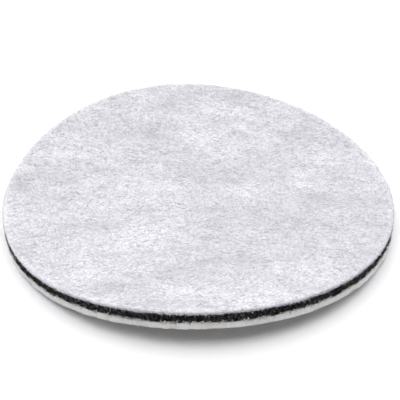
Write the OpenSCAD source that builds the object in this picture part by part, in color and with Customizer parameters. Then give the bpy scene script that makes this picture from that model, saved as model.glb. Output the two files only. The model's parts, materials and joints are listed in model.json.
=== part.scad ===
// A laminated hook-and-loop polishing disc: a thin white felt face, a black foam
// core and a thick cream loop cloth, bonded face to face by two adhesive films.
// The layers lie face up and have taken a set from the roll: a flat strip along X
// rests on the surface, and the rim curls up on both sides of it.
// Millimetres, +Z up. The origin is the middle of the underside.

/* [Disc] */
// Diameter that the layers are cut to
disc_d = 125; // [75:1:200]

/* [Layers] */
// Thickness of the white polishing felt
felt_t = 1.0; // [0.5:0.1:4]
// Thickness of the adhesive film between the felt and the foam
felt_film_t = 0.15; // [0.1:0.05:0.3]
// Thickness of the black foam core
foam_t = 2.2; // [1:0.1:6]
// Thickness of the adhesive film between the foam and the backing cloth
backing_film_t = 0.15; // [0.1:0.05:0.3]
// Thickness of the loop backing cloth
backing_t = 2.0; // [1:0.1:4]

/* [Curl] */
// Height of the underside at the raised edges of the rim
rim_lift = 6.2; // [1:0.1:8]
// Width of the flat strip that the disc rests on
flat_w = 12; // [4:1:20]

/* [Hidden] */
$fn = 360;
disc_r = disc_d / 2;
// Width of the curled stretch on each side of the flat strip, seen from above
curl_w = disc_r - flat_w / 2;
// Radius of the underside's arc, which meets the flat strip without a kink
bend_r = (curl_w * curl_w + rim_lift * rim_lift) / (2 * rim_lift);
// Faces between the layers, as heights above the underside
backing_top = backing_t;
backing_film_top = backing_top + backing_film_t;
foam_top = backing_film_top + foam_t;
felt_film_top = foam_top + felt_film_t;
felt_top = felt_film_top + felt_t;
// Length by which the sheet and the cutter run past the rim before the cut
overrun = 5;

// The curled stretch of a layer's section, with the arc's centre at the origin
module curl_section(r_under, r_over) {
    intersection() {
        difference() {
            circle(r = r_under);
            circle(r = r_over);
        }
        translate([0, -r_under - overrun])
            square([curl_w + overrun, r_under + overrun]);
    }
}

// A layer's section across the curl: the flat strip and a rising arc at each end
module layer_section(z_under, z_over) {
    translate([-flat_w / 2, z_under])
        square([flat_w, z_over - z_under]);
    for (side = [0, 1])
        mirror([side, 0])
            translate([flat_w / 2, bend_r])
                curl_section(bend_r - z_under, bend_r - z_over);
}

// One layer of the laminate, cut round
module layer(z_under, z_over) {
    intersection() {
        rotate([90, 0, 90])
            linear_extrude(height = disc_d + 2 * overrun, center = true)
                layer_section(z_under, z_over);
        translate([0, 0, -overrun])
            cylinder(d = disc_d, h = felt_top + 2 * rim_lift + 2 * overrun);
    }
}

module polishing_felt() {
    color([0.88, 0.88, 0.91])
        layer(felt_film_top, felt_top);
}

module felt_adhesive_film() {
    color([0.80, 0.76, 0.62])
        layer(foam_top, felt_film_top);
}

module foam_core() {
    color([0.08, 0.08, 0.09])
        layer(backing_film_top, foam_top);
}

module backing_adhesive_film() {
    color([0.80, 0.76, 0.62])
        layer(backing_top, backing_film_top);
}

module loop_backing_cloth() {
    color([0.80, 0.79, 0.75])
        layer(0, backing_top);
}

polishing_felt();
felt_adhesive_film();
foam_core();
backing_adhesive_film();
loop_backing_cloth();
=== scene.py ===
"""A laminated hook-and-loop polishing disc, felt side up, on a plain white surface.

Every layer is built flat, as it was die-cut, and then curled: a point of the flat laminate is
(x, s, h), where s runs across the curl along the sheet and h is the height above the underside
of the laminate. curl() puts such points where the CAD model has them, but for a slight warp of
the rim.
"""

import json
import math

import bpy
import numpy as np
from mathutils import Matrix, Vector, noise


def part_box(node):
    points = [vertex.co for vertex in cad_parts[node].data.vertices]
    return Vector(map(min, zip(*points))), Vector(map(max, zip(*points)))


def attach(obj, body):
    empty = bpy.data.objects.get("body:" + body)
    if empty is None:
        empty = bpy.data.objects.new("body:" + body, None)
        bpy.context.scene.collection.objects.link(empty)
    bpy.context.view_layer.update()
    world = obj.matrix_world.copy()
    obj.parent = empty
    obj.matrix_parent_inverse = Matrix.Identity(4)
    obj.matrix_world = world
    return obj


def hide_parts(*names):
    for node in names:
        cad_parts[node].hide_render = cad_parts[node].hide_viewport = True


MM = 0.001
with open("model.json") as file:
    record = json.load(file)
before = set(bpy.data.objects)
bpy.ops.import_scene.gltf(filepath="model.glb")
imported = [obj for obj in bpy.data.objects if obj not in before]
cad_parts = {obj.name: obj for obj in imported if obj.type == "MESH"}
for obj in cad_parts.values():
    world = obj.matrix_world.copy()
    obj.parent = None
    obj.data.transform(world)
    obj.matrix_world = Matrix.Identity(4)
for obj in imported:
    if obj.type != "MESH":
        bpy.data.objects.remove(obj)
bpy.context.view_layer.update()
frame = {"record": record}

# ---------------------------------------------------------------- sizes, mostly from the frame

LAYERS = [  # from the underside up
    "loop_backing_cloth",
    "backing_adhesive_film",
    "foam_core",
    "felt_adhesive_film",
    "polishing_felt",
]
UNDERSIDE = {node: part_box(node)[0][2] for node in LAYERS}
MOUNTS = {mount["name"]: mount for mount in frame["record"]["mounts"]}
TOTAL = MOUNTS["felt_face"]["pos_m"][2]
TOPSIDE = dict(zip(LAYERS, [UNDERSIDE[node] for node in LAYERS[1:]] + [TOTAL]))

felt_low, felt_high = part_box("polishing_felt")
RADIUS = (felt_high[0] - felt_low[0]) / 2
FLAT_HALF = 6 * MM  # half the width of the flat strip that the disc rests on
CURL_WIDTH = RADIUS - FLAT_HALF
RIM_TOP = felt_high[2]
BEND_RADIUS = (CURL_WIDTH**2 + RIM_TOP**2 - TOTAL**2) / (2 * (RIM_TOP - TOTAL))
NEUTRAL = TOTAL / 2  # the height at which the curled sheet keeps its flat length

WARP = 0.53 * MM  # how far the rim strays from the even curl
WARP_TURN = math.radians(2.9)  # how far the stray's wave is turned from the X axis


def curl(flat):
    """Flat laminate points (..., 3) as points on the curled disc."""
    x, s, h = flat[..., 0], flat[..., 1], flat[..., 2]
    reach = BEND_RADIUS - h
    angle = np.maximum(np.abs(s) - FLAT_HALF, 0) / (BEND_RADIUS - NEUTRAL)
    y = np.sign(s) * (np.minimum(np.abs(s), FLAT_HALF) + reach * np.sin(angle))
    around, out = np.arctan2(s, x), np.hypot(x, s) / RADIUS
    warp = WARP * out**3 * np.abs(np.sin(around)) * np.cos(3 * (around - WARP_TURN))
    z = BEND_RADIUS - reach * np.cos(angle) + warp
    return np.stack([x, y, z], axis=-1)


# ---------------------------------------------------------------- random detail


def ripple(angle, slowest, fastest, seed):
    """A random closed wave round the rim, of about unit size, from slowest to fastest cycles a turn."""
    rng = np.random.default_rng(seed)
    cycles = np.arange(slowest, fastest + 1)
    size = rng.normal(size=len(cycles)) / math.sqrt(len(cycles) / 2)
    start = rng.uniform(0, 2 * math.pi, len(cycles))
    return (size * np.cos(angle[:, None] * cycles + start)).sum(axis=1)


SEED_STRIDE = 17.3  # how far apart in the noise two neighbouring seeds are read
OCTAVE_FADE = 1.0  # how fast the octaves grow weaker
OCTAVE_STEP = 2.0  # how many times finer each octave is than the last
UNIT_NOISE = 1.6  # brings the fractal noise to about unit size


def grain(points, size, seed, octaves=2):
    """Fractal noise of about unit size at points (..., 3), with features of that size in metres."""
    places = (points / size + SEED_STRIDE * seed).reshape(-1, 3).tolist()
    values = [noise.fractal(Vector(place), OCTAVE_FADE, OCTAVE_STEP, octaves) for place in places]
    return UNIT_NOISE * np.array(values).reshape(points.shape[:-1])


GRAIN_TURN = math.radians(-16.5)  # the direction that the fibres favour


class FibreMap:
    """How thickly curved strokes lie on each place of the disc, as a height of unit spread.

    spread is how far, in radians, the strokes stray from the direction that the fibres favour."""

    CELL = 0.2 * MM
    SPAN = 2.1 * RADIUS  # the least width of the map, a little more than the disc's
    BEND = 1.6  # how far, in radians, a stroke turns over its length

    def __init__(self, count, length, width, spread, seed):
        rng = np.random.default_rng(seed)
        self.side = 2 ** math.ceil(math.log2(self.SPAN / self.CELL))
        field = np.zeros((self.side, self.side))
        half = self.side * self.CELL / 2
        place = rng.uniform(-half, half, (count, 2))
        heading = GRAIN_TURN + rng.normal(0, spread, count)
        turn = rng.normal(0, self.BEND, count) / length
        step = max(width / 2, self.CELL)
        for _ in range(int(length / step)):
            place += step * np.stack([np.cos(heading), np.sin(heading)], axis=1)
            heading += turn * step
            cells = np.floor((place + half) / self.CELL).astype(int) % self.side
            np.add.at(field, (cells[:, 0], cells[:, 1]), 1.0)
        wave = np.fft.fftfreq(self.side, self.CELL)
        fade = np.exp(-2 * (math.pi * width / 2) ** 2 * (wave[:, None] ** 2 + wave[None, :] ** 2))
        field = np.fft.ifft2(np.fft.fft2(field) * fade).real
        self.field = (field - field.mean()) / field.std()

    def at(self, x, s):
        """The map's height at x and s, between the four nearest cells."""
        u = x / self.CELL + self.side / 2 - 0.5
        v = s / self.CELL + self.side / 2 - 0.5
        i, j = np.floor(u).astype(int), np.floor(v).astype(int)
        fu, fv = u - i, v - j
        i, j = i % self.side, j % self.side
        i1, j1 = (i + 1) % self.side, (j + 1) % self.side
        low = self.field[i, j] * (1 - fv) + self.field[i, j1] * fv
        high = self.field[i1, j] * (1 - fv) + self.field[i1, j1] * fv
        return low * (1 - fu) + high * fu


# ---------------------------------------------------------------- meshes


def mesh_piece(name, points, triangles):
    """A smooth mesh object from points on the curled disc and triangles."""
    mesh = bpy.data.meshes.new(name)
    mesh.vertices.add(len(points))
    mesh.vertices.foreach_set("co", points.astype(np.float32).ravel())
    mesh.loops.add(3 * len(triangles))
    mesh.loops.foreach_set("vertex_index", triangles.astype(np.int32).ravel())
    mesh.polygons.add(len(triangles))
    mesh.polygons.foreach_set("loop_start", np.arange(0, 3 * len(triangles), 3, dtype=np.int32))
    mesh.polygons.foreach_set("use_smooth", np.full(len(triangles), True))
    mesh.update(calc_edges=True)
    mesh.validate()
    piece = bpy.data.objects.new(name, mesh)
    bpy.context.scene.collection.objects.link(piece)
    return piece


def rim_angles(columns):
    """That many even angles round the disc."""
    return 2 * math.pi * np.arange(columns) / columns


def fine_cap(rings):
    """An evenly spaced triangle net over a unit disc: (radius, angle, triangles).

    Ring k has 6 k points, so the rim has 6 * rings, and they come last, in order."""
    first = [0] + [1 + 3 * k * (k - 1) for k in range(1, rings + 1)]
    radius, angle, triangles = [np.zeros(1)], [np.zeros(1)], []
    for k in range(1, rings + 1):
        count = 6 * k
        radius.append(np.full(count, k / rings))
        angle.append(rim_angles(count))
        sector, i = np.divmod(np.arange(count), k)
        outer = first[k] + np.arange(count)
        outer_next = first[k] + (np.arange(count) + 1) % count
        inner_count = max(6 * (k - 1), 1)
        inner = first[k - 1] + (sector * (k - 1) + i) % inner_count
        triangles.append(np.stack([inner, outer, outer_next], axis=1))
        within = i < k - 1
        inner_next = first[k - 1] + (sector * (k - 1) + i + 1) % inner_count
        triangles.append(np.stack([inner, outer_next, inner_next], axis=1)[within])
    return np.concatenate(radius), np.concatenate(angle), np.concatenate(triangles)


def plain_cap(columns, rings):
    """A coarse net over a unit disc, with columns points on every ring: (radius, angle, triangles)."""
    radius = np.concatenate([[0.0]] + [np.full(columns, k / rings) for k in range(1, rings + 1)])
    angle = np.concatenate([[0.0]] + [rim_angles(columns)] * rings)
    here, after = np.arange(columns), (np.arange(columns) + 1) % columns
    triangles = [np.stack([np.zeros(columns, dtype=int), 1 + here, 1 + after], axis=1)]
    for k in range(1, rings):
        inner, outer = 1 + (k - 1) * columns, 1 + k * columns
        triangles.append(np.stack([inner + here, outer + here, outer + after], axis=1))
        triangles.append(np.stack([inner + here, outer + after, inner + after], axis=1))
    return radius, angle, np.concatenate(triangles)


def rim_points(turn, height):
    """Points of the flat laminate on the uncut rim, at those angles and heights."""
    zero = np.zeros_like(height)
    return np.stack([RADIUS * np.cos(turn) + zero, RADIUS * np.sin(turn) + zero, height], axis=-1)


def closed_disc(name, inset, height, top_cap, bottom_cap, top_detail=None, bottom_detail=None):
    """A closed layer. inset and height (rows, columns) are its cut edge from the top face down.

    top_detail and bottom_detail give what their face stands proud by, in metres, from x and s."""
    rows, columns = inset.shape
    turn = rim_angles(columns)
    out = RADIUS - inset
    wall = np.stack([out * np.cos(turn), out * np.sin(turn), height], axis=-1)
    points, triangles = [wall.reshape(-1, 3)], []
    here, after = np.arange(columns), (np.arange(columns) + 1) % columns
    for row in range(rows - 1):
        upper, lower = row * columns, (row + 1) * columns
        triangles.append(np.stack([upper + here, lower + here, lower + after], axis=1))
        triangles.append(np.stack([upper + here, lower + after, upper + after], axis=1))
    start = rows * columns
    faces = [(top_cap, 0, top_detail, 1), (bottom_cap, rows - 1, bottom_detail, -1)]
    for cap, row, detail, up in faces:
        radius, angle, net = cap
        inner = len(radius) - columns
        r = radius[:inner] * out[row].mean()
        x, s = r * np.cos(angle[:inner]), r * np.sin(angle[:inner])
        h = np.full(inner, height[row].mean())
        if detail:
            h = h + up * detail(x, s)
        points.append(np.stack([x, s, h], axis=-1))
        number = np.concatenate([start + np.arange(inner), row * columns + np.arange(columns)])
        start += inner
        triangles.append(number[net][:, ::up])
    return mesh_piece(name, curl(np.concatenate(points)), np.concatenate(triangles))


STRAND_SIDES = 3
TINY = 1e-12  # keeps two places at one point from dividing by zero
UPRIGHT = 1e-3  # a stretch of strand that is no more level than this counts as upright


def strand_piece(name, paths, thickness):
    """Fine closed fibres: paths (fibres, places, 3) in the flat laminate, pointed at both ends."""
    count, places, _ = paths.shape
    along = np.gradient(paths, axis=1)
    along /= np.linalg.norm(along, axis=2, keepdims=True) + TINY
    side = np.cross(along, [0.0, 0.0, 1.0])
    flat_side = np.linalg.norm(side, axis=2, keepdims=True)
    side = np.where(flat_side > UPRIGHT, side / np.maximum(flat_side, UPRIGHT), [1.0, 0.0, 0.0])
    over = np.cross(side, along)
    rings = []
    for corner in range(STRAND_SIDES):
        turn = 2 * math.pi * corner / STRAND_SIDES
        spoke = math.cos(turn) * side + math.sin(turn) * over
        rings.append(paths + spoke * thickness[:, None, None] / 2)
    rings = np.stack(rings, axis=2)[:, 1:-1]
    inner = (places - 2) * STRAND_SIDES
    points = np.concatenate([paths[:, :1], rings.reshape(count, inner, 3), paths[:, -1:]], axis=1)
    net = []
    for corner in range(STRAND_SIDES):
        after = (corner + 1) % STRAND_SIDES
        net.append([0, 1 + corner, 1 + after])
        last = 1 + inner - STRAND_SIDES
        net.append([1 + inner, last + after, last + corner])
        for ring in range(places - 3):
            low, high = 1 + ring * STRAND_SIDES, 1 + (ring + 1) * STRAND_SIDES
            net.append([low + corner, high + corner, high + after])
            net.append([low + corner, high + after, low + after])
    each = points.shape[1]
    triangles = (np.array(net)[None] + each * np.arange(count)[:, None, None]).reshape(-1, 3)
    return mesh_piece(name, curl(points).reshape(-1, 3), triangles)


# ---------------------------------------------------------------- materials


class Look:
    """A node material under construction."""

    def __init__(self, name):
        self.material = bpy.data.materials.new(name)
        self.material.use_nodes = True
        self.tree = self.material.node_tree
        self.surface = self.tree.nodes["Principled BSDF"]
        self.place = self.add("ShaderNodeTexCoord").outputs["Object"]

    def add(self, kind, **settings):
        node = self.tree.nodes.new(kind)
        for key, value in settings.items():
            setattr(node, key, value)
        return node

    def link(self, source, socket):
        self.tree.links.new(source, socket)

    def set(self, **values):
        """Set the surface's inputs, with _ for each space in their names."""
        for name, value in values.items():
            self.surface.inputs[name.replace("_", " ")].default_value = value

    def stretched(self, stretch, turn):
        """The object's coordinates, turned about Z and divided by stretch along each axis."""
        mapping = self.add("ShaderNodeMapping", vector_type="TEXTURE")
        mapping.inputs["Scale"].default_value = stretch
        mapping.inputs["Rotation"].default_value = (0, 0, turn)
        self.link(self.place, mapping.inputs["Vector"])
        return mapping.outputs["Vector"]

    def noise(self, size, stretch=(1, 1, 1), detail=3.0, rough=0.55, turn=0.0):
        """Noise with features of that size in metres."""
        node = self.add("ShaderNodeTexNoise")
        node.inputs["Scale"].default_value = 1 / size
        node.inputs["Detail"].default_value = detail
        node.inputs["Roughness"].default_value = rough
        self.link(self.stretched(stretch, turn), node.inputs["Vector"])
        return node.outputs["Fac"]

    def distance(self, x=0.0, y=0.0):
        """The distance of a place on the object from the upright line through x, y."""
        flat = self.add("ShaderNodeVectorMath", operation="MULTIPLY")
        flat.inputs[1].default_value = (1, 1, 0)
        self.link(self.place, flat.inputs[0])
        away = self.add("ShaderNodeVectorMath", operation="DISTANCE")
        away.inputs[1].default_value = (x, y, 0)
        self.link(flat.outputs["Vector"], away.inputs[0])
        return away.outputs["Value"]

    def rim_share(self, start, full):
        """0 on the disc's face and 1 at its rim, between those distances in from the rim."""
        return self.spread(self.distance(), RADIUS - start, RADIUS - full)

    def pores(self, size):
        """The distance to the nearest of scattered points, which stand about size apart."""
        node = self.add("ShaderNodeTexVoronoi", feature="F1")
        node.inputs["Scale"].default_value = 1 / size
        self.link(self.place, node.inputs["Vector"])
        return node.outputs["Distance"]

    def spread(self, value, low, high):
        """value between low and high, as 0 to 1."""
        node = self.add("ShaderNodeMapRange")
        node.inputs["From Min"].default_value = low
        node.inputs["From Max"].default_value = high
        self.link(value, node.inputs["Value"])
        return node.outputs["Result"]

    def mix(self, factor, first, second):
        """A colour between first and second; each is a colour or a socket."""
        node = self.add("ShaderNodeMix", data_type="RGBA")
        self.link(factor, node.inputs["Factor"])
        for name, value in (("A", first), ("B", second)):
            socket = [i for i in node.inputs if i.name == name and i.type == "RGBA"][0]
            if isinstance(value, tuple):
                socket.default_value = (*value, 1)
            else:
                self.link(value, socket)
        return [o for o in node.outputs if o.type == "RGBA"][0]

    def colour(self, value):
        """Give the surface a colour, or the colour from a socket."""
        if isinstance(value, tuple):
            self.set(Base_Color=(*value, 1))
        else:
            self.link(value, self.surface.inputs["Base Color"])

    def bump(self, value, depth, strength=1.0):
        """Relief of that depth in metres."""
        node = self.add("ShaderNodeBump")
        node.inputs["Distance"].default_value = depth
        node.inputs["Strength"].default_value = strength
        self.link(value, node.inputs["Height"])
        self.link(node.outputs["Normal"], self.surface.inputs["Normal"])


WHITE_FELT = (0.865, 0.855, 0.885)
CLOUDY_FELT = (0.565, 0.56, 0.59)
SHADED_FELT = (0.33, 0.33, 0.35)
# Near white: a painted highlight on the felt's cut edge and along its rim
RIM_HIGHLIGHT_FELT = (0.97, 0.96, 1.0)
# The next two are lighter copies of the felt's colours, for a painted pool of light at the front of its
# face
LIT_CLOUDY_FELT = (0.72, 0.715, 0.745)
LIT_WHITE_FELT = (0.885, 0.875, 0.905)
CLOUD_SIZE = 12 * MM
TUFT_SIZE = 0.8 * MM
FIBRE_SIZE = 0.5 * MM
FIBRE_BUMP = 0.14 * MM
# How far in from the rim the painted highlight that whitens the felt's cut edge starts, and how far in
# it is full
CUT_EDGE_HIGHLIGHT = (0.45 * MM, 0.15 * MM)
# The same for a wider strip of painted highlight along the rounded rim, which would be full 2 mm
# outside the rim and so is only half whiter
RIM_HIGHLIGHT_BAND = (2.0 * MM, -2.0 * MM)
LIT_PATCH_MIDDLE = (2 * MM, -62 * MM)  # the middle of a painted pool of light at the front of the face
LIT_PATCH_REACH = 27 * MM  # how far from its middle the patch has faded out
LIT_PATCH_FULL = 0.4 * LIT_PATCH_REACH  # and how far it is at its cleanest


def felt_look():
    look = Look("white_needle_felt")
    clouds = look.noise(CLOUD_SIZE, stretch=(1.9, 1, 1), detail=5.0, rough=0.74, turn=GRAIN_TURN)
    clouds = look.spread(clouds, 0.36, 0.70)
    tufts = look.noise(TUFT_SIZE, detail=3.0, rough=0.9, turn=GRAIN_TURN)
    tufts = look.spread(tufts, 0.42, 0.76)
    base = look.mix(clouds, WHITE_FELT, CLOUDY_FELT)
    # A painted highlight along the rim
    base = look.mix(look.rim_share(*RIM_HIGHLIGHT_BAND), base, RIM_HIGHLIGHT_FELT)
    # A painted pool of light at the front of the face
    lit_patch = look.spread(look.distance(*LIT_PATCH_MIDDLE), LIT_PATCH_REACH, LIT_PATCH_FULL)
    base = look.mix(lit_patch, base, look.mix(clouds, LIT_WHITE_FELT, LIT_CLOUDY_FELT))
    base = look.mix(tufts, base, SHADED_FELT)
    # A painted highlight on the cut edge, whiter than the felt
    look.colour(look.mix(look.rim_share(*CUT_EDGE_HIGHLIGHT), base, RIM_HIGHLIGHT_FELT))
    fibres = look.noise(FIBRE_SIZE, stretch=(1.2, 1, 1), detail=2.0, rough=0.8, turn=GRAIN_TURN)
    look.bump(fibres, FIBRE_BUMP)
    look.set(Roughness=0.95, Specular_IOR_Level=0.2, Sheen_Weight=0.15, Sheen_Roughness=0.5)
    return look.material


def fibre_look(name, colour):
    look = Look(name)
    look.colour(colour)
    look.set(Roughness=0.8, Specular_IOR_Level=0.3, Sheen_Weight=0.3, Sheen_Roughness=0.4)
    return look.material


# Blacker than the cell walls: painted shade in the pores' hollows
PORE_SHADE_BLACK = (0.0010, 0.0010, 0.0014)
WALL_BLACK = (0.005, 0.005, 0.006)
STRUT_GREY = (0.20, 0.195, 0.185)
PORE_SIZE = 0.5 * MM
STRUT_SIZE = 0.7 * MM
PORE_BUMP = 0.12 * MM


def foam_look():
    look = Look("black_cut_foam")
    cells = look.spread(look.pores(PORE_SIZE), 0.1, 0.8)
    struts = look.spread(look.noise(STRUT_SIZE, detail=3.0, rough=1.0), 0.52, 0.70)
    # Painted shade in the pores
    base = look.mix(cells, PORE_SHADE_BLACK, WALL_BLACK)
    look.colour(look.mix(struts, base, STRUT_GREY))
    look.bump(cells, PORE_BUMP, strength=0.8)
    look.set(Roughness=0.95, Specular_IOR_Level=0.06)
    return look.material


DARK_FILM = (0.42, 0.40, 0.35)
PALE_FILM = (0.58, 0.56, 0.51)
WEB_SIZE = 0.8 * MM
WEB_BUMP = 0.03 * MM


def film_look():
    look = Look("hot_melt_film")
    web = look.spread(look.noise(WEB_SIZE, detail=2.0), 0.35, 0.65)
    look.colour(look.mix(web, DARK_FILM, PALE_FILM))
    look.bump(web, WEB_BUMP)
    look.set(Roughness=0.45)
    return look.material


CUT_WHITE = (0.955, 0.955, 0.965)
CUT_CREAM = (0.93, 0.915, 0.89)
CUT_SHADE = (0.72, 0.72, 0.73)
# The underside's ground is painted darker than the cut edge, as shade under the loop pile; its brushed
# tones differ at random
PALE_SHADED_GROUND = (0.80, 0.79, 0.76)
DARK_SHADED_GROUND = (0.62, 0.61, 0.58)
GROUND_SHADE = (0.52, 0.51, 0.49)
TONE_SIZE = 5 * MM
YARN_SIZE = 0.9 * MM
BRUSH_SIZE = 7 * MM
BRUSHED_TURN = math.radians(20)  # the direction that the loops are brushed in
WOOL_SIZE = 0.3 * MM
WOOL_BUMP = 0.08 * MM
# How far in from the rim the cut edge's whiter colours start over the underside's darker ones, and how
# far in they are full
CLOTH_EDGE_BAND = (1.0 * MM, 0.5 * MM)


def cloth_look():
    look = Look("cream_loop_cloth")
    tone = look.spread(look.noise(TONE_SIZE, detail=3.0), 0.40, 0.66)
    yarn = look.noise(YARN_SIZE, stretch=(1, 1, 0.3), detail=3.0, rough=0.8)
    yarn = look.spread(yarn, 0.42, 0.72)
    cut = look.mix(tone, CUT_WHITE, CUT_CREAM)
    cut = look.mix(yarn, cut, CUT_SHADE)
    brushed = look.noise(BRUSH_SIZE, stretch=(3.0, 1, 1), detail=5.0, rough=0.7, turn=BRUSHED_TURN)
    brushed = look.spread(brushed, 0.36, 0.68)
    # The underside, darker as painted shade
    ground = look.mix(brushed, PALE_SHADED_GROUND, DARK_SHADED_GROUND)
    ground = look.mix(yarn, ground, GROUND_SHADE)
    look.colour(look.mix(look.rim_share(*CLOTH_EDGE_BAND), ground, cut))
    wool = look.noise(WOOL_SIZE, stretch=(1.5, 1.5, 0.5), detail=3.0, rough=0.7)
    look.bump(wool, WOOL_BUMP)
    look.set(Roughness=0.9, Specular_IOR_Level=0.2, Sheen_Weight=0.2, Sheen_Roughness=0.5)
    return look.material


# ---------------------------------------------------------------- the felt

FELT_RINGS = 150
PLAIN_RINGS = 8
NAP_RELIEF = 0.010 * MM
CLUMP_RELIEF = 0.04 * MM
EDGE_SHOULDER = 0.5 * MM  # how far in from the rim the felt's face starts to round over
SHOULDER_DROP = 0.25 * MM  # how much lower than its middle the felt's face is at the rim
# The felt's cut edge from the top down: how far in from the rim it is and, as a share of the
# felt's thickness, how high. The last row hangs a little over the foam.
EDGE_INSETS = [0.30 * MM, 0.10 * MM, 0.03 * MM, 0.02 * MM, 0.08 * MM]
EDGE_LEVELS = [0.72, 0.50, 0.28, 0.06, -0.16]
EDGE_RIPPLES = (60, 440)  # cycles a turn
RAGGED_IN = 0.07 * MM
RAGGED_UP = 0.04 * MM

fine_nap = FibreMap(count=120000, length=1.2 * MM, width=0.45 * MM, spread=3.0, seed=11)
clumps = FibreMap(count=6000, length=3.0 * MM, width=2.2 * MM, spread=1.2, seed=12)


def felt_relief(x, s):
    """How far the felt's face stands proud of its mean height."""
    return NAP_RELIEF * fine_nap.at(x, s) + CLUMP_RELIEF * clumps.at(x, s)


def felt_face_height(x, s):
    """The height of the felt's face in the laminate, which rounds over at the rim."""
    to_rim = np.maximum(RADIUS - np.hypot(x, s), 0)
    rounded = SHOULDER_DROP * np.exp(-to_rim / EDGE_SHOULDER)
    return TOPSIDE["polishing_felt"] + felt_relief(x, s) - rounded


def make_felt():
    low, high = UNDERSIDE["polishing_felt"], TOPSIDE["polishing_felt"]
    columns, rows = 6 * FELT_RINGS, len(EDGE_LEVELS)
    turn = rim_angles(columns)
    inward = np.stack([ripple(turn, *EDGE_RIPPLES, 21 + row) for row in range(rows)])
    inset = np.array(EDGE_INSETS)[:, None] + RAGGED_IN * inward
    upward = np.stack([ripple(turn, *EDGE_RIPPLES, 30 + row) for row in range(rows - 1)])
    height = low + np.array(EDGE_LEVELS)[:, None] * (high - low) + np.zeros(columns)
    height[1:] += RAGGED_UP * upward

    def face(x, s):
        return felt_face_height(x, s) - height[0].mean()

    top_cap, bottom_cap = fine_cap(FELT_RINGS), plain_cap(columns, PLAIN_RINGS)
    felt = closed_disc("felt_face_sheet", inset, height, top_cap, bottom_cap, top_detail=face)
    felt.data.materials.append(felt_look())
    return felt


NAP_AREA = 0.992  # the share of the face, from its middle out, in which a nap fibre may start
NAP_STRAY = 1.3  # how far, in radians, the fibres stray from the direction that they favour
NAP_BEND = 1.5  # how far, in radians, a fibre turns over its length
NAP_LENGTHS = (0.8, 3.0)  # in millimetres, as are NAP_THICKS and NAP_LIFT
NAP_THICKS = (0.04, 0.075)
NAP_LIFT = 0.035
NAP_OVERHANG = 0.15 * MM  # the furthest that a fibre reaches past the rim
NAP_CLEARANCE = 0.01 * MM


def nap_piece(name, count, seed, colour):
    """Loose fibres matted down on the felt's face."""
    rng = np.random.default_rng(seed)
    t = np.linspace(0, 1, 6)
    out = RADIUS * np.sqrt(rng.uniform(0, NAP_AREA, count))
    around = rng.uniform(0, 2 * math.pi, count)
    heading = GRAIN_TURN + rng.normal(0, NAP_STRAY, count)
    length = rng.uniform(*NAP_LENGTHS, count) * MM
    turn = rng.normal(0, NAP_BEND, count)
    angle = heading[:, None] + turn[:, None] * (t - 0.5)
    step = length[:, None] / (len(t) - 1)
    x = (out * np.cos(around))[:, None] + np.cumsum(step * np.cos(angle), axis=1)
    s = (out * np.sin(around))[:, None] + np.cumsum(step * np.sin(angle), axis=1)
    over = np.maximum(np.hypot(x, s) / (RADIUS + NAP_OVERHANG), 1)
    x, s = x / over, s / over
    lift = rng.gamma(2.0, NAP_LIFT, count) * MM
    rise = lift[:, None] * np.sin(math.pi * t) ** 0.7
    h = felt_face_height(x, s) + NAP_CLEARANCE + rise
    thickness = rng.uniform(*NAP_THICKS, count) * MM
    piece = strand_piece(name, np.stack([x, s, h], axis=-1), thickness)
    piece.data.materials.append(fibre_look(name + "_look", colour))
    return piece


FUZZ_ROOT = 0.15 * MM  # how far in from the rim the fuzz is rooted
FUZZ_TUFT = 0.6 * MM
TUFT_RANGE = (0.1, 1.9)  # the shortest and the longest tufts, as shares of the middling one
FUZZ_SHAPE = 2.2  # of the gamma spread of the fibres' lengths
LONGEST_REACH = 1.6  # the longest fibre of a middling tuft, as a share of the reach
FUZZ_LEAN = 0.9  # how far, in radians, the fibres lean to either side
DROOP_SPREAD = 0.5
LOWEST_FUZZ = 0.05 * MM
FUZZ_THICKS = (0.035, 0.06)  # in millimetres, as are the shreds'
SHRED_THICKS = (0.04, 0.09)


def rim_fuzz(name, count, seed, colour, low, high, reach, droop, clump=0.7, thick=FUZZ_THICKS):
    """Short fibres, longer where they stand in tufts, that reach out of the cut edge and droop.

    They are rooted between the heights low and high. clump is how much the tufts differ in
    length, and a droop below 0 turns the fibres up."""
    rng = np.random.default_rng(seed)
    t = np.linspace(0, 1, 4)
    around = rng.uniform(0, 2 * math.pi, count)
    start_h = rng.uniform(low, high, count)
    tuft = np.clip(1 + clump * grain(rim_points(around, start_h), FUZZ_TUFT, seed), *TUFT_RANGE)
    length = np.minimum(rng.gamma(FUZZ_SHAPE, reach / FUZZ_SHAPE, count), LONGEST_REACH * reach) * tuft
    lean = rng.normal(0, FUZZ_LEAN, count)
    fall = rng.normal(droop, DROOP_SPREAD, count)
    along = length[:, None] * t
    out = RADIUS - FUZZ_ROOT + along * np.cos(lean)[:, None] * (1 - 0.35 * t)
    side = along * np.sin(lean)[:, None] / RADIUS
    h = np.maximum(start_h[:, None] - along * fall[:, None] * (0.25 + 0.75 * t), LOWEST_FUZZ)
    x, s = out * np.cos(around[:, None] + side), out * np.sin(around[:, None] + side)
    thickness = rng.uniform(*thick, count) * MM
    piece = strand_piece(name, np.stack([x, s, h], axis=-1), thickness)
    piece.data.materials.append(fibre_look(name + "_look", colour))
    return piece


# ---------------------------------------------------------------- the foam and the films

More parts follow.
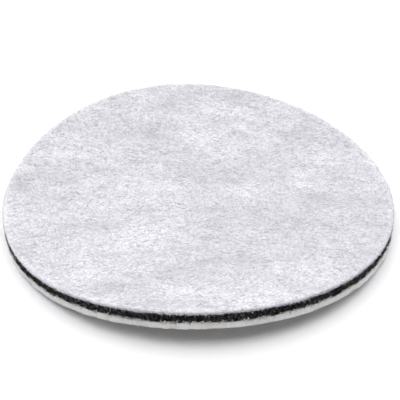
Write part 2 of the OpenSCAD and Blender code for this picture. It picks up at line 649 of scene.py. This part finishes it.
BLACK_EDGE_COLUMNS = 2400  # points round the cut edge of the foam and of each film
FOAM_ROWS = 15
UPPER_RAGGED = 0.18 * MM
LOWER_RAGGED = 0.20 * MM
LOWER_RISE = 0.10 * MM  # how far the foam's lower edge lies above the film at most
FOAM_CELL = 0.55 * MM
CELL_REACH = 0.62  # how far from its middle a cut cell is hollow, as a share of a cell
CELL_DEPTH = 0.20 * MM
FOAM_LUMP = 1.5 * MM
LUMP_DEPTH = 0.05 * MM
FOAM_PROUD = 0.02 * MM
FOAM_WANDER = 0.06 * MM
FOAM_FOOT = 0.10 * MM  # how far the foam's lowest row stands out


def make_foam():
    low, high = UNDERSIDE["foam_core"], TOPSIDE["foam_core"]
    turn = rim_angles(BLACK_EDGE_COLUMNS)
    level = np.linspace(1, 0, FOAM_ROWS)[:, None]
    height = low + level * (high - low) + np.zeros(BLACK_EDGE_COLUMNS)
    upper_edge = np.abs(UPPER_RAGGED * ripple(turn, 90, 600, 41))
    lower_edge = np.abs(LOWER_RAGGED * ripple(turn, 120, 1100, 43))
    height += upper_edge * (level > 0.9) + (LOWER_RISE - lower_edge) * (level < 0.08)
    rim = rim_points(turn, height)
    places = (rim / FOAM_CELL).reshape(-1, 3).tolist()
    cells = np.array([noise.voronoi(Vector(place))[0][0] for place in places])
    hollow = np.clip(CELL_REACH - cells.reshape(height.shape), 0, 1)
    inset = CELL_DEPTH * hollow + LUMP_DEPTH * grain(rim, FOAM_LUMP, 3) - FOAM_PROUD
    inset += FOAM_WANDER * ripple(turn, 6, 60, 42)
    inset[-1] -= FOAM_FOOT
    cap = plain_cap(BLACK_EDGE_COLUMNS, PLAIN_RINGS)
    foam = closed_disc("foam_core_body", inset, height, cap, cap)
    foam.data.materials.append(foam_look())
    return foam


SHRED_OVERLAP = 0.1 * MM  # how far below the foam the lowest shreds are rooted


def foam_shreds(name, count, seed, colour, high, reach, droop):
    """Shreds of cell wall that the cutter left standing on the foam's edge, up to that height."""
    low = UNDERSIDE["foam_core"] - SHRED_OVERLAP
    return rim_fuzz(name, count, seed, colour, low, high, reach, droop, thick=SHRED_THICKS)


FILM_WANDER = 0.08 * MM
SOAK_SPREAD = 1.6  # how unevenly the film has crept up, as a share of how far


def make_film(name, node, inset, soak):
    """A sheet of film that ends about that far in from the rim.

    soak is about how far its melted edge has crept up the layer above."""
    turn = rim_angles(BLACK_EDGE_COLUMNS)
    rim = inset + FILM_WANDER * ripple(turn, 20, 120, 50)
    crept = np.maximum(soak * (1 + SOAK_SPREAD * ripple(turn, 120, 1100, 51)), 0)
    top = np.full(BLACK_EDGE_COLUMNS, TOPSIDE[node])
    bottom = np.full(BLACK_EDGE_COLUMNS, UNDERSIDE[node])
    height = np.stack([top, top + crept, bottom])
    cap = plain_cap(BLACK_EDGE_COLUMNS, PLAIN_RINGS)
    film = closed_disc(name, np.stack([rim + 2 * soak, rim, rim]), height, cap, cap)
    film.data.materials.append(film_look())
    return film


# ---------------------------------------------------------------- the loop cloth

CLOTH_RINGS = 150
CLOTH_ROWS = 14
PILE = 0.22 * MM  # depth of the loops under the cloth's ground weave
LOOP_PITCH = 1.35 * MM
WEAVE_RELIEF = 0.05 * MM
LIP_RAGGED = 0.12 * MM
LIP_WANDER = 0.05 * MM
LIP_DROP = 0.26 * MM  # how much lower than the ground weave the lower lip of the cut edge hangs
LOWEST_LIP = 0.02 * MM
CLOTH_LUMP = 1.8 * MM
CLOTH_LUMP_DEPTH = 0.07 * MM
CLOTH_INSET = 0.04 * MM
CLOTH_RAGGED = 0.05 * MM
CLOTH_WANDER = 0.06 * MM
CLOTH_FLARE = 0.12 * MM  # how far the cut edge stands out at its lower lip
CLOTH_BEVEL = 0.15 * MM  # how much further in its uppermost row is


def cloth_relief(x, s):
    """The knitted ground of the cloth's underside: wales along X, courses across."""
    wales = np.cos(2 * math.pi * s / LOOP_PITCH)
    courses = np.cos(2 * math.pi * x / LOOP_PITCH)
    return WEAVE_RELIEF * (wales + 0.5 * courses)


def make_cloth():
    low, high = UNDERSIDE["loop_backing_cloth"] + PILE, TOPSIDE["loop_backing_cloth"]
    columns = 6 * CLOTH_RINGS
    turn = rim_angles(columns)
    level = np.linspace(1, 0, CLOTH_ROWS)[:, None]
    height = low + level * (high - low) + np.zeros(columns)
    lip = LIP_RAGGED * ripple(turn, 120, 440, 61) + LIP_WANDER * ripple(turn, 8, 60, 62)
    height = np.maximum(height + (lip - LIP_DROP) * (1 - level) ** 2, LOWEST_LIP)
    lumps = grain(rim_points(turn, 6 * height), CLOTH_LUMP, 5, octaves=3)
    inset = CLOTH_LUMP_DEPTH * lumps + CLOTH_INSET + CLOTH_RAGGED * ripple(turn, 200, 440, 64)
    inset += CLOTH_WANDER * ripple(turn, 10, 90, 63)
    inset -= CLOTH_FLARE * np.exp(-level / 0.12)
    inset += CLOTH_BEVEL * (level > 0.95)
    top_cap, bottom_cap = plain_cap(columns, PLAIN_RINGS), fine_cap(CLOTH_RINGS)
    cloth = closed_disc(
        "loop_cloth_sheet", inset, height, top_cap, bottom_cap, bottom_detail=cloth_relief
    )
    cloth.data.materials.append(cloth_look())
    return cloth


LOOP_JITTER = 0.2  # in millimetres, as are LOOP_SPANS and LOOP_LEAN
LOOP_SPANS = (0.7, 1.5)
LOOP_LEAN = 0.5
LOOP_HEADING = (0.4, 0.8)  # the loops' direction and how far they stray from it, in radians
LOOP_DROPS = (0.75, 1.0)  # how far the loops hang, as shares of the most that the pile allows
LOOP_MARGIN = 0.7 * MM  # from the rim to the nearest loop
LOOP_ROOT = 0.05 * MM
LOOP_THICKNESS = 0.09 * MM
LOOP_YARN = (0.74, 0.73, 0.70)


def make_loops():
    """The loops on the underside, in jittered rows, matted down by handling."""
    rng = np.random.default_rng(71)
    steps = np.arange(-RADIUS, RADIUS, LOOP_PITCH)
    x, s = (axis.ravel() for axis in np.meshgrid(steps, steps))
    x = x + rng.normal(0, LOOP_JITTER, len(x)) * MM
    s = s + rng.normal(0, LOOP_JITTER, len(s)) * MM
    inside = np.hypot(x, s) < RADIUS - LOOP_MARGIN
    x, s = x[inside], s[inside]
    t = np.linspace(0, 1, 7)
    span = rng.uniform(*LOOP_SPANS, len(x)) * MM
    heading = rng.normal(*LOOP_HEADING, len(x))
    lean = rng.normal(0, LOOP_LEAN, len(x)) * MM
    along = span[:, None] * (t - 0.5)
    across = lean[:, None] * np.sin(math.pi * t)
    drop = (PILE - LOOP_ROOT) * rng.uniform(*LOOP_DROPS, len(x))
    path_x = x[:, None] + along * np.cos(heading)[:, None] - across * np.sin(heading)[:, None]
    path_s = s[:, None] + along * np.sin(heading)[:, None] + across * np.cos(heading)[:, None]
    path_h = PILE + LOOP_ROOT - (drop[:, None] + LOOP_ROOT) * np.sin(math.pi * t) ** 0.6
    thickness = np.full(len(x), LOOP_THICKNESS)
    loops = strand_piece("loop_pile", np.stack([path_x, path_s, path_h], axis=-1), thickness)
    loops.data.materials.append(fibre_look("loop_yarn", LOOP_YARN))
    return loops


# ---------------------------------------------------------------- camera, floor and light

VIEW_ELEVATION = math.radians(36.58)
VIEW_TURN = math.radians(-10.15)  # how far the view is turned from the disc's own X axis
VIEW_ROLL = math.radians(0.255)
VIEW_DISTANCE = 5.176 * RADIUS
LENS_MM = 90
SENSOR_MM = 36
NEAREST_SEEN = 0.01
FRAME_SHIFT = (0.0039, -0.0130)  # how far the disc stands off the middle, as shares of the frame


def make_camera():
    camera = bpy.data.objects.new("camera", bpy.data.cameras.new("camera"))
    bpy.context.scene.collection.objects.link(camera)
    camera.data.lens = LENS_MM
    camera.data.sensor_width = SENSOR_MM
    camera.data.clip_start = NEAREST_SEEN
    camera.data.shift_x = FRAME_SHIFT[0]
    camera.data.shift_y = FRAME_SHIFT[1]
    tilt = Matrix.Rotation(math.pi / 2 - VIEW_ELEVATION, 4, "X")
    turn = Matrix.Rotation(VIEW_TURN, 4, "Z") @ tilt
    place = Matrix.Translation((0, 0, TOTAL)) @ turn @ Matrix.Translation((0, 0, VIEW_DISTANCE))
    camera.matrix_world = place @ Matrix.Rotation(VIEW_ROLL, 4, "Z")
    bpy.context.scene.camera = camera


FLOOR_HALF = 0.35
FLOOR_WHITE = (0.95, 0.95, 0.95, 1)
ROOM_WHITE = (1, 1, 1, 1)
FILL_STRENGTH = 0.01  # how much light the room gives the disc
BACKDROP_STRENGTH = 1.0  # how bright the room looks past the floor's end
LAMP_PLACE = (0.0, 0.20, 0.9)
LAMP_SIZE = (2.4, 1.5)
LAMP_POWER = 27.7
LAMP_COLOUR = (0.985, 0.983, 1.0)


def make_floor():
    mesh = bpy.data.meshes.new("floor")
    signs = [(-1, -1), (1, -1), (1, 1), (-1, 1)]
    corners = [(FLOOR_HALF * x, FLOOR_HALF * y, 0) for x, y in signs]
    mesh.from_pydata(corners, [], [(0, 1, 2, 3)])
    floor = bpy.data.objects.new("floor", mesh)
    bpy.context.scene.collection.objects.link(floor)
    material = bpy.data.materials.new("white_sweep")
    material.use_nodes = True
    nodes = material.node_tree.nodes
    nodes.remove(nodes["Principled BSDF"])
    diffuse = nodes.new("ShaderNodeBsdfDiffuse")
    diffuse.inputs["Color"].default_value = FLOOR_WHITE
    material.node_tree.links.new(diffuse.outputs["BSDF"], nodes["Material Output"].inputs["Surface"])
    mesh.materials.append(material)


def area_light(name, place, size, power):
    """A soft rectangular light at place, aimed at the disc."""
    light = bpy.data.objects.new(name, bpy.data.lights.new(name, "AREA"))
    bpy.context.scene.collection.objects.link(light)
    light.data.shape = "RECTANGLE"
    light.data.size, light.data.size_y = size
    light.data.energy = power
    light.data.color = LAMP_COLOUR
    light.location = place
    light.rotation_euler = Vector(place).to_track_quat("Z", "Y").to_euler()


def make_light():
    """The lamp over the disc, in a dim room whose far walls look pale."""
    world = bpy.data.worlds.new("studio")
    bpy.context.scene.world = world
    world.use_nodes = True
    nodes, links = world.node_tree.nodes, world.node_tree.links
    fill = nodes["Background"]
    fill.inputs["Color"].default_value = ROOM_WHITE
    fill.inputs["Strength"].default_value = FILL_STRENGTH
    backdrop = nodes.new("ShaderNodeBackground")
    backdrop.inputs["Color"].default_value = ROOM_WHITE
    backdrop.inputs["Strength"].default_value = BACKDROP_STRENGTH
    sight, either = nodes.new("ShaderNodeLightPath"), nodes.new("ShaderNodeMixShader")
    links.new(sight.outputs["Is Camera Ray"], either.inputs["Fac"])
    links.new(fill.outputs["Background"], either.inputs[1])
    links.new(backdrop.outputs["Background"], either.inputs[2])
    links.new(either.outputs["Shader"], nodes["World Output"].inputs["Surface"])
    area_light("overhead_light", LAMP_PLACE, LAMP_SIZE, LAMP_POWER)
    bpy.context.scene.view_settings.view_transform = "Standard"


# ---------------------------------------------------------------- assembly

make_camera()
make_floor()
make_light()

FELT_TOP, FELT_BOTTOM = TOPSIDE["polishing_felt"], UNDERSIDE["polishing_felt"]
FOAM_TOP, FOAM_BOTTOM = TOPSIDE["foam_core"], UNDERSIDE["foam_core"]
FUZZ_WHITE = (0.94, 0.93, 0.99)

felt = make_felt()
nap = [
    nap_piece("felt_nap_white", 7500, 81, (0.90, 0.89, 0.92)),
    nap_piece("felt_nap_pale", 7500, 82, (0.76, 0.75, 0.79)),
    nap_piece("felt_nap_grey", 5000, 83, (0.52, 0.52, 0.56)),
]
fuzz = rim_fuzz(
    "felt_rim_fuzz",
    count=10000,
    seed=84,
    colour=FUZZ_WHITE,
    low=FELT_BOTTOM - 0.15 * MM,
    high=FELT_BOTTOM + 0.5 * MM,
    reach=0.32 * MM,
    droop=0.4,
    clump=1.6,
)
halo = rim_fuzz(
    "felt_shoulder_fuzz",
    count=14000,
    seed=88,
    colour=FUZZ_WHITE,
    low=FELT_BOTTOM + 0.5 * MM,
    high=FELT_TOP - 0.15 * MM,
    reach=0.36 * MM,
    droop=0.1,
)
felt_film = make_film("felt_film_sheet", "felt_adhesive_film", inset=0.3 * MM, soak=0.05 * MM)
foam = make_foam()
black_shreds = foam_shreds(
    "foam_shreds_black",
    count=7000,
    seed=86,
    colour=(0.03, 0.026, 0.020),
    high=FOAM_BOTTOM + 0.1 * MM,
    reach=0.26 * MM,
    droop=1.3,
)
grey_shreds = foam_shreds(
    "foam_shreds_grey",
    count=8000,
    seed=87,
    colour=(0.22, 0.218, 0.23),
    high=FOAM_TOP - 0.1 * MM,
    reach=0.12 * MM,
    droop=0.1,
)
upper_shreds = rim_fuzz(
    "foam_shreds_upper",
    count=5000,
    seed=89,
    colour=(0.02, 0.02, 0.025),
    low=FOAM_TOP - 0.1 * MM,
    high=FOAM_TOP + 0.1 * MM,
    reach=0.28 * MM,
    droop=-0.8,
    clump=1.6,
    thick=SHRED_THICKS,
)
shreds = [black_shreds, grey_shreds, upper_shreds]
backing_film = make_film(
    "backing_film_sheet", "backing_adhesive_film", inset=-0.05 * MM, soak=0.16 * MM
)
cloth = make_cloth()
loops = make_loops()
cloth_fuzz = rim_fuzz(
    "cloth_rim_fuzz",
    count=12000,
    seed=85,
    colour=(0.96, 0.955, 0.95),
    low=PILE,
    high=PILE + 0.7 * MM,
    reach=0.20 * MM,
    droop=0.45,
)

for piece in [felt, *nap, fuzz, halo, felt_film, foam, *shreds, backing_film, cloth, loops, cloth_fuzz]:
    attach(piece, "root")
for piece in [felt, *nap, fuzz, halo]:
    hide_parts("polishing_felt")
for piece in [cloth, loops, cloth_fuzz]:
    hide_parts("loop_backing_cloth")
for piece in [foam, *shreds]:
    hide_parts("foam_core")
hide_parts("felt_adhesive_film")
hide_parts("backing_adhesive_film")
